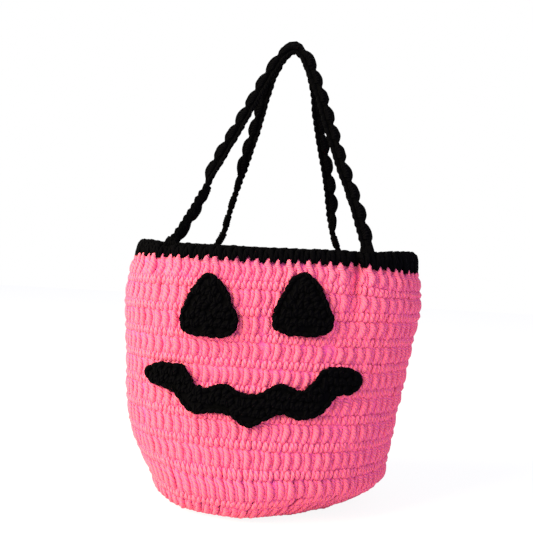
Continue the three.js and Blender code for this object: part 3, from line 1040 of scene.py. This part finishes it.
def laid_on_wall(points):
    """Moves [across, proud, up] points onto the front of the wall"""
    base = FABRIC_THICKNESS / 2 + ROUND_BULGE
    depth = front_depth(points[:, 0], points[:, 2], base + points[:, 1])
    return np.stack([points[:, 0], depth, points[:, 2]], axis=1)


def pad_body(edge, thickness):
    """The felt under a pad's stitches: a sheet cut to the outline, with a crown"""
    bpy.ops.object.select_all(action="DESELECT")
    wide, tall = PAD_GRID
    bpy.ops.mesh.primitive_grid_add(x_subdivisions=wide, y_subdivisions=tall, size=2)
    obj = bpy.context.active_object
    low, high = edge.min(axis=0) - 1, edge.max(axis=0) + 1

    def spread():
        return low + (read_points(obj)[:, :2] + 1) / 2 * (high - low)

    inside = distance_inside(spread(), edge)
    for polygon in obj.data.polygons:
        polygon.select = all(inside[v] <= 0 for v in polygon.vertices)
    bpy.context.tool_settings.mesh_select_mode = (False, False, True)
    bpy.ops.object.mode_set(mode="EDIT")
    bpy.ops.mesh.delete(type="FACE")
    bpy.ops.mesh.select_all(action="SELECT")
    bpy.ops.mesh.delete_loose()
    bpy.ops.object.mode_set(mode="OBJECT")
    flat = spread()
    inside = distance_inside(flat, edge)
    flat = np.where(inside[:, None] < 0, nearest_on(flat, edge)[0], flat)
    inside = np.clip(inside, 0, None)
    crown = thickness * np.sqrt(1 - (1 - np.clip(inside / PAD_CROWN_WIDTH, 0, 1)) ** 2)
    write_points(obj, np.stack([flat[:, 0], crown + 0.1, flat[:, 1]], axis=1))
    thickened(obj, PAD_SHEET_THICKNESS, 1)
    return obj


def placed_stitches(unit, places):
    """Copies of a small stitch, each turned in the wall's plane and moved to its place"""
    row = repeated(unit, len(places), 0.0)
    points = read_points(row)
    which = np.arange(len(points)) // (len(points) // len(places))
    spots = np.array(places)[which]
    turn = spots[:, 3]
    across = spots[:, 0] + points[:, 0] * np.cos(turn) - points[:, 2] * np.sin(turn)
    up = spots[:, 2] + points[:, 0] * np.sin(turn) + points[:, 2] * np.cos(turn)
    write_points(row, np.stack([across, spots[:, 1] + points[:, 1], up], axis=1))
    return row


def pad_stitch(yarn, size):
    """One stitch of a sewn-on pad: two short fat strands that meet in a V"""
    r = size * yarn.thickness / MM / 2
    arms = [
        strand(
            [(side * 2.8, -0.6, 3.1), (side * 2.1, 0.8, 1.2), (side * 0.6, 0.3, -2.7)],
            [0.6 * r, 0.95 * r, 0.55 * r], steps=4,
        )
        for side in (-1, 1)
    ]
    return joined(arms, "pad_stitch")


def edge_loop(yarn):
    """One loop of the edging round a pad"""
    r = yarn.thickness / MM / 2
    return strand(
        [(-3.5, -0.8, 0.0), (-1.4, 0.7, 0.2), (1.4, 0.7, 0.2), (3.5, -0.8, 0.0)],
        [0.45 * r, 0.86 * r, 0.86 * r, 0.45 * r], steps=4,
    )


def whip_stitch():
    """One stitch of the sewing yarn, from the pad's edge down into the wall"""
    return strand(
        [(0.0, 0.9, -2.6), (0.1, 1.3, -1.5), (0.2, -0.8, -0.6)], [0.6, 0.75, 0.6], steps=4,
    )


def evenly_along(edge, pitch):
    """Even places along a closed outline, each with its direction"""
    closed = np.vstack([edge, edge[:1]])
    lengths = np.linalg.norm(np.diff(closed, axis=0), axis=1)
    run = np.concatenate([[0.0], np.cumsum(lengths)])
    count = max(round(run[-1] / pitch), 3)
    at = (np.arange(count) + 0.5) * run[-1] / count
    spots = np.stack([np.interp(at, run, closed[:, k]) for k in (0, 1)], axis=1)
    ahead = np.stack([np.interp((at + 1) % run[-1], run, closed[:, k]) for k in (0, 1)], axis=1)
    turn = np.arctan2(ahead[:, 1] - spots[:, 1], ahead[:, 0] - spots[:, 0])
    return spots, turn


def winding(edge):
    """1 for an outline that runs anticlockwise, -1 for one that runs clockwise"""
    after = np.roll(edge, -1, axis=0)
    return np.sign(np.sum(edge[:, 0] * after[:, 1] - after[:, 0] * edge[:, 1]))


def drawn_in(edge, amount):
    """The outline moved inwards by an amount"""
    along = np.roll(edge, -1, axis=0) - np.roll(edge, 1, axis=0)
    along /= np.linalg.norm(along, axis=1)[:, None]
    inward = np.stack([-along[:, 1], along[:, 0]], axis=1)
    return edge + inward * amount * winding(edge)


class PadMaker:
    """Makes one sewn-on pad of the face: its crocheted body and its sewing yarn"""

    def __init__(self, context, outline, place, name, seed):
        self.context = context
        self.yarn = context.scene.candy_bag_yarn
        self.edge = closed_outline(outline, place, PAD_OUTLINE_STEPS)
        self.name = name
        self.dice = np.random.default_rng(seed)

    def body(self):
        """The pad's own crochet: its felted body, rows of stitches and an edging of loops"""
        parts = [
            pad_body(drawn_in(self.edge, PAD_BODY_INSET), PAD_THICKNESS - PAD_STITCH_RELIEF),
            self.rows_of_stitches(),
            self.edging(),
        ]
        obj = joined(parts, f"{self.name}_crochet")
        points = read_points(obj)
        # Painted shade on the pad, darkest on its felt between the stitches
        mark_painted_shade(obj, points[:, 1], 1.0, PAD_THICKNESS)
        self.lay(obj, points)
        return finish_piece(
            self.context, obj, f"{self.name}_crochet", "bag", BLACK, [self.name]
        )

    def rows_of_stitches(self):
        """Stitches in staggered rows over the pad, none of them near its edge"""
        low, high = self.edge.min(axis=0), self.edge.max(axis=0)
        places = []
        for line, up in enumerate(np.arange(low[1] + 4, high[1], PAD_ROW_HEIGHT)):
            start = low[0] + 2 + PAD_STITCH_WIDTH / 2 * (line % 2)
            for across in np.arange(start, high[0], PAD_STITCH_WIDTH):
                places.append((across, up))
        places = np.array(places) + self.dice.normal(0, PAD_LOOSENESS, (len(places), 2))
        places = places[distance_inside(places, self.edge) > PAD_MARGIN]
        return self.placed(pad_stitch(self.yarn, PAD_STITCH_SIZE), [
            (across, PAD_THICKNESS - PAD_STITCH_DEPTH, up, self.dice.normal(0, PAD_TURNING))
            for across, up in places
        ])

    def edging(self):
        """Loops that follow one another round the pad's edge"""
        spots, turn = evenly_along(drawn_in(self.edge, EDGE_LOOP_INSET), EDGE_LOOP_LENGTH)
        spots = spots + self.dice.normal(0, EDGE_LOOSENESS, spots.shape)
        return self.placed(edge_loop(self.yarn), [
            (across, EDGE_LOOP_PROUD, up, angle) for (across, up), angle in zip(spots, turn)
        ])

    def placed(self, unit, places):
        """Copies of one stitch at their places, without the stitch itself"""
        row = placed_stitches(unit, places)
        bpy.data.objects.remove(unit)
        return row

    def sewing(self):
        """Whip stitches all round the pad, each from its edge out into the wall"""
        spots, turn = evenly_along(self.edge, WHIP_STITCH_STEP)
        facing = math.pi if winding(self.edge) > 0 else 0.0
        obj = self.placed(whip_stitch(), [
            (across, WHIP_STITCH_PROUD, up, angle + facing)
            for (across, up), angle in zip(spots, turn)
        ])
        points = read_points(obj)
        # Painted shade on the sewing yarn, darker where it lies low
        mark_painted_shade(obj, points[:, 1], *SEWING_PROUD)
        self.lay(obj, points)
        node = f"{self.name}_sewing_yarn"
        return finish_piece(
            self.context, obj, f"{self.name}_whip_stitches", "bag", BLACK, [node]
        )

    def lay(self, obj, points):
        """Lays a part of the pad on the wall, in its drape"""
        write_points(obj, hang(laid_on_wall(points), self.context.scene.candy_bag) * MM)


class CANDYBAG_OT_eyes(Operator):
    """Crochets and sews on the two eyes"""

    bl_idname = "candy_bag.eyes"
    bl_label = "Eyes"

    def execute(self, context):
        eyes = (("left_eye", LEFT_EYE_PLACE), ("right_eye", RIGHT_EYE_PLACE))
        for (name, place), seed in zip(eyes, EYE_SEEDS):
            pad = PadMaker(context, EYE_OUTLINE, place, name, seed)
            pad.body()
            pad.sewing()
        return {"FINISHED"}


class CANDYBAG_OT_mouth(Operator):
    """Crochets and sews on the wavy mouth"""

    bl_idname = "candy_bag.mouth"
    bl_label = "Mouth"

    def execute(self, context):
        pad = PadMaker(context, MOUTH_OUTLINE, MOUTH_PLACE, "mouth", MOUTH_SEED)
        pad.body()
        pad.sewing()
        return {"FINISHED"}


# Handles


def rim_depth(across):
    """How far the rim's middle lies in front of or behind the bag's middle, at a place on it"""
    wide, deep, _ = RIM_EDGE
    return deep * (1 - (abs(across) / wide) ** RIM_ROUNDNESS) ** (1 / RIM_ROUNDNESS)


class HandlePlane:
    """The leaning plane that a handle lies in, from its foot to foot route"""

    def __init__(self, route, feet, towards, twist):
        self.route = np.array(route, float)
        self.length = path_length(self.route)
        self.towards = towards
        self.twist = np.array([(at % self.length, angle) for at, angle in twist], float)
        self.rim = (rim_depth(feet[0]) + rim_depth(feet[1])) / 2
        hinge = self.rim + FOOT_THICKNESS / 2
        top = max(point[1] for point in route) + CORD_WIDTH / 2 + GAP + SHELL_PEAK
        self.lean = math.asin((hinge - GAP / 2) / math.hypot(top, HANDLE_THICKNESS))
        self.lean -= math.atan(HANDLE_THICKNESS / top)
        self.hinge = np.array([
            RIM_MIDDLE, towards * hinge, RIM_TOP + GAP + FOOT_HEIGHT + GAP,
        ])
        self.up = np.array([0, -towards * math.sin(self.lean), math.cos(self.lean)])
        self.out = np.array([0, math.cos(self.lean), towards * math.sin(self.lean)])

    def placed(self, points):
        """Lays [along, thick, across] points round the handle's route"""
        share = points[:, 0] / self.length
        spot, along = smooth_path(self.route, share)
        overrun = (points[:, 0] - np.clip(points[:, 0], 0, self.length))[:, None]
        spot = spot + along * overrun
        turn = np.interp(points[:, 0], self.twist[:, 0], np.radians(self.twist[:, 1]))
        across = points[:, 2] * np.cos(turn) - points[:, 1] * np.sin(turn)
        thick = points[:, 2] * np.sin(turn) + points[:, 1] * np.cos(turn)
        flat = spot + np.stack([-along[:, 1], along[:, 0]], axis=1) * across[:, None]
        middle = self.hinge - self.towards * self.out * HANDLE_THICKNESS / 2
        return (
            middle + flat[:, :1] * (1, 0, 0) + flat[:, 1:] * self.up + thick[:, None] * self.out
        )


def cord_stitch(yarn):
    """One chain stitch of a handle's cord"""
    r = yarn.thickness / MM / 2
    arms = [
        strand(
            [(-3.4, 0.4 * side, 0.5 * side), (0.2, 1.1 * side, 0.9 * side), (3.2, 0.2, 0.1)],
            [0.55 * r, 0.72 * r, 0.55 * r], steps=4,
        )
        for side in (-1, 1)
    ]
    return joined(arms, "cord_stitch")


def shell_stitch(yarn):
    """One shell: posts fanned from one place in the cord, with a border round their heads"""
    r = yarn.thickness / MM / 2
    half = SHELL_PITCH / 2
    parts = [
        strand([(-half - 0.6, 0.0, 2.3), (0, 0, 2.3), (half + 0.6, 0.0, 2.3)], [0.6 * r] * 3),
        strand([(-half - 0.6, 0.0, 3.8), (0, 0, 3.8), (half + 0.6, 0.0, 3.8)], [0.9 * r] * 3),
        strand(
            [(-8.0, 0.0, 3.9), (-6.4, 0.2, 5.1), (-3.4, 0.3, 6.2), (0.0, 0.3, 6.6),
             (3.2, 0.2, 6.2), (6.0, -0.1, 5.1), (7.8, -0.2, 3.8)],
            [0.6 * r, 0.75 * r, 0.85 * r, 0.8 * r, 0.85 * r, 0.75 * r, 0.6 * r], steps=9,
        ),
    ]
    for spread, reach in ((-2, 4.4), (-1, 5.5), (0, 5.9), (1, 5.5), (2, 4.4)):
        foot, head = 1.4 * spread, 2.5 * spread
        for face in (-1, 1):
            parts.append(strand(
                [(foot, 0.8 * face, 1.6), ((foot + head) / 2, 1.5 * face, 0.6 * reach),
                 (head, 0.8 * face, reach)],
                [0.55 * r, 0.7 * r, 0.55 * r], steps=4,
            ))
    return joined(parts, "shell_stitch")


def end_stitch(yarn, at):
    """The strands that keep a strap's width between its last shell and its foot"""
    r = yarn.thickness / MM / 2
    return joined([
        strand([(at - 6, 0, across), (at, 0, across), (at + 6, 0, across)], [0.8 * r] * 3)
        for across in (2.4, 4.6)
    ], "end_stitch")


def cord_core(length):
    """The cord's middle, which its chain stitches wrap"""
    return strand(
        [(0, 0, 0), (length / 2, 0, 0), (length, 0, 0)], [CORD_CORE_RADIUS] * 3,
        steps=CORD_CORE_STEPS,
    )


def handle_foot(yarn, outer):
    """A handle's end stitches, fanned over the rim's top edge and towards its outer side"""
    r = yarn.thickness / MM / 2
    parts = []
    for spread in (-1.0, -0.5, 0.0, 0.5, 1.0):
        for face in (-1, 1):
            parts.append(strand(
                [(2.2 * spread, 0.7 * face, 4.2), (2.6 * spread + 0.2 * outer, 1.5 * face, 2.2),
                 (3.5 * spread + 0.9 * outer, 2.1 * face, -0.8)],
                [0.5 * r, 0.72 * r, 0.55 * r], steps=4,
            ))
    return joined(parts, "foot_stitches")


def foot_sewing(outer):
    """Small stitches of sewing yarn over the foot's edge and into the rim"""
    parts = []
    for step in (-3.2, -1.4, 0.4, 2.2, 4.0):
        spread = step * outer
        parts.append(strand(
            [(spread, -2.6, -2.2), (spread + 0.2, -3.2, -0.6), (spread + 0.4, -1.5, 0.7),
             (spread + 0.4, 1.5, 0.7), (spread + 0.3, 3.2, -0.6), (spread + 0.2, 2.6, -2.2)],
            [0.7, 0.85, 0.85, 0.85, 0.85, 0.7], steps=8,
        ))
    return joined(parts, "foot_sewing")


class HandleMaker:
    """Makes one handle: cord, shells and feet"""

    def __init__(self, context, side, route, feet, towards, twist, seed):
        self.context = context
        self.yarn = context.scene.candy_bag_yarn
        self.side = side
        self.plane = HandlePlane(route, feet, towards, twist)
        self.seed = seed

    def row(self, unit, count, pitch, start):
        """A loosened row of one stitch, laid out straight"""
        obj = repeated(unit, count, pitch)
        bpy.data.objects.remove(unit)
        points = loosened(read_points(obj), count, self.yarn.unevenness / MM / 2, self.seed)
        points[:, 0] += start
        write_points(obj, points)
        return obj

    def strap(self, obj, node):
        """Bends a straight part of the strap round its route"""
        points = read_points(obj)
        # Painted shade on the strap, darker towards the middle of its thickness
        mark_painted_shade(obj, np.abs(points[:, 1]), *STRAP_PROUD)
        write_points(obj, self.plane.placed(points) * MM)
        name = node.replace("cord", "chain").replace("shells", "shell_stitches")
        piece = finish_piece(self.context, obj, name, None, BLACK, [node])
        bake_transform(piece)
        return piece

    def cord(self):
        length = self.plane.length
        count = round(length / CORD_PITCH)
        row = self.row(cord_stitch(self.yarn), count, length / count, length / count / 2)
        core = cord_core(length)
        return self.strap(joined([row, core], "cord"), f"{self.side}_handle_cord")

    def shells(self):
        length = self.plane.length - 2 * SHELL_START
        count = round(length / SHELL_PITCH)
        pitch = length / count
        row = self.row(shell_stitch(self.yarn), count, pitch, SHELL_START + pitch / 2)
        ends = [end_stitch(self.yarn, at) for at in (0.0, self.plane.length)]
        return self.strap(joined([row, *ends], "shells"), f"{self.side}_handle_shells")

    def feet(self):
        for end, index, outer, aside in FEET:
            across = RIM_MIDDLE + self.plane.route[index][0] + aside
            node = f"{self.side}_handle_{end}_foot"
            low, high = (np.array(corner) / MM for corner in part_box(node))
            place = np.array([across, (low[1] + high[1]) / 2, low[2]])
            for obj, kind, name in (
                (handle_foot(self.yarn, outer), node, f"{node}_stitches"),
                (foot_sewing(outer), f"{node}_yarn", f"{node}_whip_stitches"),
            ):
                points = read_points(obj)
                # Painted shade on the foot, darker towards its middle
                mark_painted_shade(obj, np.abs(points[:, 1]), *FOOT_PROUD)
                write_points(obj, hang(points + place, self.context.scene.candy_bag) * MM)
                finish_piece(self.context, obj, name, "bag", BLACK, [kind])


class CANDYBAG_OT_handles(Operator):
    """Crochets the two handles and sews their feet to the rim"""

    bl_idname = "candy_bag.handles"
    bl_label = "Handles"

    def execute(self, context):
        for handle in (
            HandleMaker(context, "front", FRONT_ROUTE, FRONT_FEET, -1, FRONT_TWIST, FRONT_SEED),
            HandleMaker(context, "back", BACK_ROUTE, BACK_FEET, 1, BACK_TWIST, BACK_SEED),
        ):
            handle.cord()
            handle.shells()
            handle.feet()
        return {"FINISHED"}


# Stage


class CANDYBAG_OT_stage(Operator):
    """Sets the pale floor, the soft lamps and the camera"""

    bl_idname = "candy_bag.stage"
    bl_label = "Stage"

    def execute(self, context):
        settings = context.scene.candy_bag_stage
        self.floor()
        self.sky(context, settings)
        self.lamp("key", KEY_PLACE, KEY_SIZE, settings.key_power, KEY_TINT)
        self.lamp("fill", FILL_PLACE, FILL_SIZE, settings.fill_power, FILL_TINT)
        self.camera(context, settings)
        context.scene.view_settings.view_transform = "Standard"
        return {"FINISHED"}

    def floor(self):
        """A floor that the camera sees almost white, and that throws back less light"""
        bpy.ops.object.select_all(action="DESELECT")
        bpy.ops.mesh.primitive_plane_add(size=FLOOR_SIZE)
        floor = bpy.context.active_object
        floor.name = "floor"
        material = bpy.data.materials.new("pale_floor")
        material.use_nodes = True
        tree = material.node_tree
        tree.nodes.clear()
        matt = tree.nodes.new("ShaderNodeBsdfDiffuse")
        matt.inputs["Color"].default_value = FLOOR_COLOUR
        white = tree.nodes.new("ShaderNodeEmission")
        white.inputs["Strength"].default_value = FLOOR_GLOW
        both = tree.nodes.new("ShaderNodeMixShader")
        seen = self.seen(tree)
        share = tree.nodes.new("ShaderNodeMath")
        share.operation = "MULTIPLY"
        share.inputs[1].default_value = FLOOR_GLOW_SHARE
        tree.links.new(seen.outputs[0], share.inputs[0])
        tree.links.new(share.outputs[0], both.inputs[0])
        tree.links.new(matt.outputs[0], both.inputs[1])
        tree.links.new(white.outputs[0], both.inputs[2])
        output = tree.nodes.new("ShaderNodeOutputMaterial")
        tree.links.new(both.outputs[0], output.inputs["Surface"])
        floor.data.materials.append(material)

    def seen(self, tree):
        """1 for what the camera sees, straight or in a gloss or glass"""
        path = tree.nodes.new("ShaderNodeLightPath")
        first = tree.nodes.new("ShaderNodeMath")
        first.operation = "MAXIMUM"
        second = tree.nodes.new("ShaderNodeMath")
        second.operation = "MAXIMUM"
        tree.links.new(path.outputs["Is Camera Ray"], first.inputs[0])
        tree.links.new(path.outputs["Is Glossy Ray"], first.inputs[1])
        tree.links.new(first.outputs[0], second.inputs[0])
        tree.links.new(path.outputs["Is Transmission Ray"], second.inputs[1])
        return second

    def sky(self, context, settings):
        """Light from all round: white to the camera, weaker and bluish on the bag"""
        world = bpy.data.worlds.new("pale_sky")
        context.scene.world = world
        world.use_nodes = True
        tree = world.node_tree
        light = tree.nodes["Background"]
        seen = self.seen(tree)
        colour = tree.nodes.new("ShaderNodeMixRGB")
        colour.inputs["Color1"].default_value = SKY_TINT
        colour.inputs["Color2"].default_value = WHITE
        tree.links.new(seen.outputs[0], colour.inputs["Fac"])
        tree.links.new(colour.outputs["Color"], light.inputs["Color"])
        strength = tree.nodes.new("ShaderNodeMapRange")
        strength.inputs["To Min"].default_value = settings.sky
        strength.inputs["To Max"].default_value = 1.0
        tree.links.new(seen.outputs[0], strength.inputs["Value"])
        tree.links.new(strength.outputs["Result"], light.inputs["Strength"])

    def lamp(self, name, place, size, power, tint):
        """A square lamp turned towards the bag's middle"""
        aim = Vector(LAMP_AIM) - Vector(place)
        bpy.ops.object.light_add(
            type="AREA", location=place, rotation=aim.to_track_quat("-Z", "Y").to_euler()
        )
        lamp = bpy.context.active_object
        lamp.name = name
        lamp.data.size = size
        lamp.data.energy = power
        lamp.data.color = tint

    def camera(self, context, settings):
        """The camera: in front, a little to the right, at the height of the bag's upper part"""
        yaw, pitch, roll = (math.radians(turn) for turn in (CAMERA_YAW, CAMERA_PITCH, CAMERA_ROLL))
        bearing = math.radians(CAMERA_BEARING)
        place = (
            CAMERA_DISTANCE * math.sin(bearing), -CAMERA_DISTANCE * math.cos(bearing),
            CAMERA_HEIGHT,
        )
        level = Vector((math.cos(yaw), math.sin(yaw), 0))
        ahead = Vector((
            -math.sin(yaw) * math.cos(pitch), math.cos(yaw) * math.cos(pitch), -math.sin(pitch),
        ))
        upright = level.cross(ahead)
        right = level * math.cos(roll) + upright * math.sin(roll)
        top = upright * math.cos(roll) - level * math.sin(roll)
        turned = Matrix((right, top, -ahead)).transposed()
        bpy.ops.object.camera_add(location=place, rotation=turned.to_euler())
        camera = bpy.context.active_object
        camera.name = "camera"
        camera.data.lens = settings.lens
        context.scene.camera = camera


STEPS = (
    CANDYBAG_OT_stage, CANDYBAG_OT_base, CANDYBAG_OT_wall, CANDYBAG_OT_rim, CANDYBAG_OT_eyes,
    CANDYBAG_OT_mouth, CANDYBAG_OT_handles,
)


class CANDYBAG_PT_panel(Panel):
    """Buttons for each group of pieces, and their sizes"""

    bl_idname = "CANDYBAG_PT_panel"
    bl_label = "Candy bag"
    bl_space_type = "VIEW_3D"
    bl_region_type = "UI"
    bl_category = "Candy bag"

    def draw(self, context):
        for settings in (
            context.scene.candy_bag_yarn, context.scene.candy_bag, context.scene.candy_bag_stage,
        ):
            box = self.layout.box()
            for key in settings.__annotations__:
                box.prop(settings, key)
        for step in STEPS:
            self.layout.operator(step.bl_idname)


CLASSES = (YarnSettings, BagSettings, StageSettings, *STEPS, CANDYBAG_PT_panel)


def register():
    for made in CLASSES:
        bpy.utils.register_class(made)
    bpy.types.Scene.candy_bag_yarn = PointerProperty(type=YarnSettings)
    bpy.types.Scene.candy_bag = PointerProperty(type=BagSettings)
    bpy.types.Scene.candy_bag_stage = PointerProperty(type=StageSettings)


def unregister():
    del bpy.types.Scene.candy_bag_stage
    del bpy.types.Scene.candy_bag
    del bpy.types.Scene.candy_bag_yarn
    for made in reversed(CLASSES):
        bpy.utils.unregister_class(made)


def main():
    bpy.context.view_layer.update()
    register()
    bpy.ops.candy_bag.stage()
    bpy.ops.candy_bag.base()
    bpy.ops.candy_bag.wall()
    bpy.ops.candy_bag.rim()
    bpy.ops.candy_bag.eyes()
    bpy.ops.candy_bag.mouth()
    bpy.ops.candy_bag.handles()


if __name__ == "__main__":
    main()
